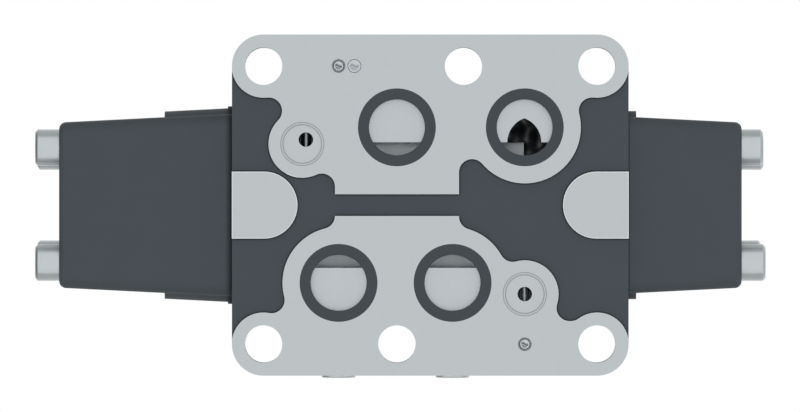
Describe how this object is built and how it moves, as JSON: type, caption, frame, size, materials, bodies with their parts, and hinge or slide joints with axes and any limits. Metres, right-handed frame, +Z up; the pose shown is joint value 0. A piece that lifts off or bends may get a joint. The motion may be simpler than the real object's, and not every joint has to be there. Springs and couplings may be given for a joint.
{
  "type": "pilot operated directional valve",
  "caption": "Subplate mounted spool valve with a cast housing, two spring covers, a ported machined underside and a small solenoid pilot valve on top.",
  "frame": {"origin": "middle of the mounting screw pattern, in the plane of the mounting face", "axes": "+Z up out of the mounting face into the valve, X along the spool towards the short end cover, -Y towards ports P and T"},
  "size_m": [0.4179, 0.1962, 0.218],
  "materials": {
    "painted_casting": "dark grey paint over cast iron, machined mounting face bare",
    "pilot_casting": "dark paint over cast iron",
    "screw_steel": "zinc plated",
    "plug_steel": "zinc plated",
    "pin_steel": "bright",
    "ground_steel": "ground",
    "spring_steel": "oiled",
    "seal_rubber": "matt nitrile",
    "plated_steel": "zinc plated",
    "override_brass": "turned",
    "coil_plastic": "moulded",
    "nut_plastic": "moulded, ribbed",
    "connector_plastic": "moulded"
  },
  "bodies": {
    "housing": {"main_body": "painted_casting", "end_cover_left": "painted_casting", "end_cover_right": "painted_casting", "stop_post_left": "ground_steel", "stop_post_right": "ground_steel", "cover_seal_left": "seal_rubber", "cover_seal_right": "seal_rubber", "cover_screws_left": "screw_steel", "cover_screws_right": "screw_steel", "main_spring_left": "spring_steel", "main_spring_right": "spring_steel", "port_seal_p": "seal_rubber", "port_seal_t": "seal_rubber", "port_seal_a": "seal_rubber", "port_seal_b": "seal_rubber", "locating_pin_rear": "pin_steel", "locating_pin_front": "pin_steel", "face_plug": "plug_steel", "gauge_plug_a": "plug_steel", "gauge_plug_b": "plug_steel", "gallery_plug_x": "plug_steel", "gallery_plug_y": "plug_steel", "pilot_body": "pilot_casting", "pilot_screws": "screw_steel", "pilot_seals": "seal_rubber", "solenoid_tube_left": "plated_steel", "solenoid_tube_right": "plated_steel", "coil_left": "coil_plastic", "coil_right": "coil_plastic", "coil_nut_left": "nut_plastic", "coil_nut_right": "nut_plastic", "connector_base_left": "connector_plastic", "connector_base_right": "connector_plastic", "pilot_spring_left": "spring_steel", "pilot_spring_right": "spring_steel"},
    "spool": {"main_spool": "ground_steel", "spring_plate_left": "ground_steel", "spring_plate_right": "ground_steel"},
    "pilot": {"pilot_spool": "ground_steel", "pilot_spring_plate_left": "ground_steel", "pilot_spring_plate_right": "ground_steel", "armature_left": "ground_steel", "armature_right": "ground_steel"},
    "override_left": {"override_pin_left": "override_brass"},
    "override_right": {"override_pin_right": "override_brass"}
  },
  "joints": [
    {"name": "main_spool_slide", "type": "slide", "parent": "housing", "child": "spool", "axis": [1, 0, 0], "range_m": [-0.013, 0.013], "stiffness_N_per_m": 12000, "deforming": ["main_spring_left", "main_spring_right"]},
    {"name": "pilot_spool_slide", "type": "slide", "parent": "housing", "child": "pilot", "axis": [1, 0, 0], "range_m": [-0.0025, 0.0025], "stiffness_N_per_m": 3000, "deforming": ["pilot_spring_left", "pilot_spring_right"]},
    {"name": "override_left_press", "type": "slide", "parent": "housing", "child": "override_left", "axis": [1, 0, 0], "range_m": [0, 0.003], "stiffness_N_per_m": 150},
    {"name": "override_right_press", "type": "slide", "parent": "housing", "child": "override_right", "axis": [-1, 0, 0], "range_m": [0, 0.003], "stiffness_N_per_m": 150}
  ]
}
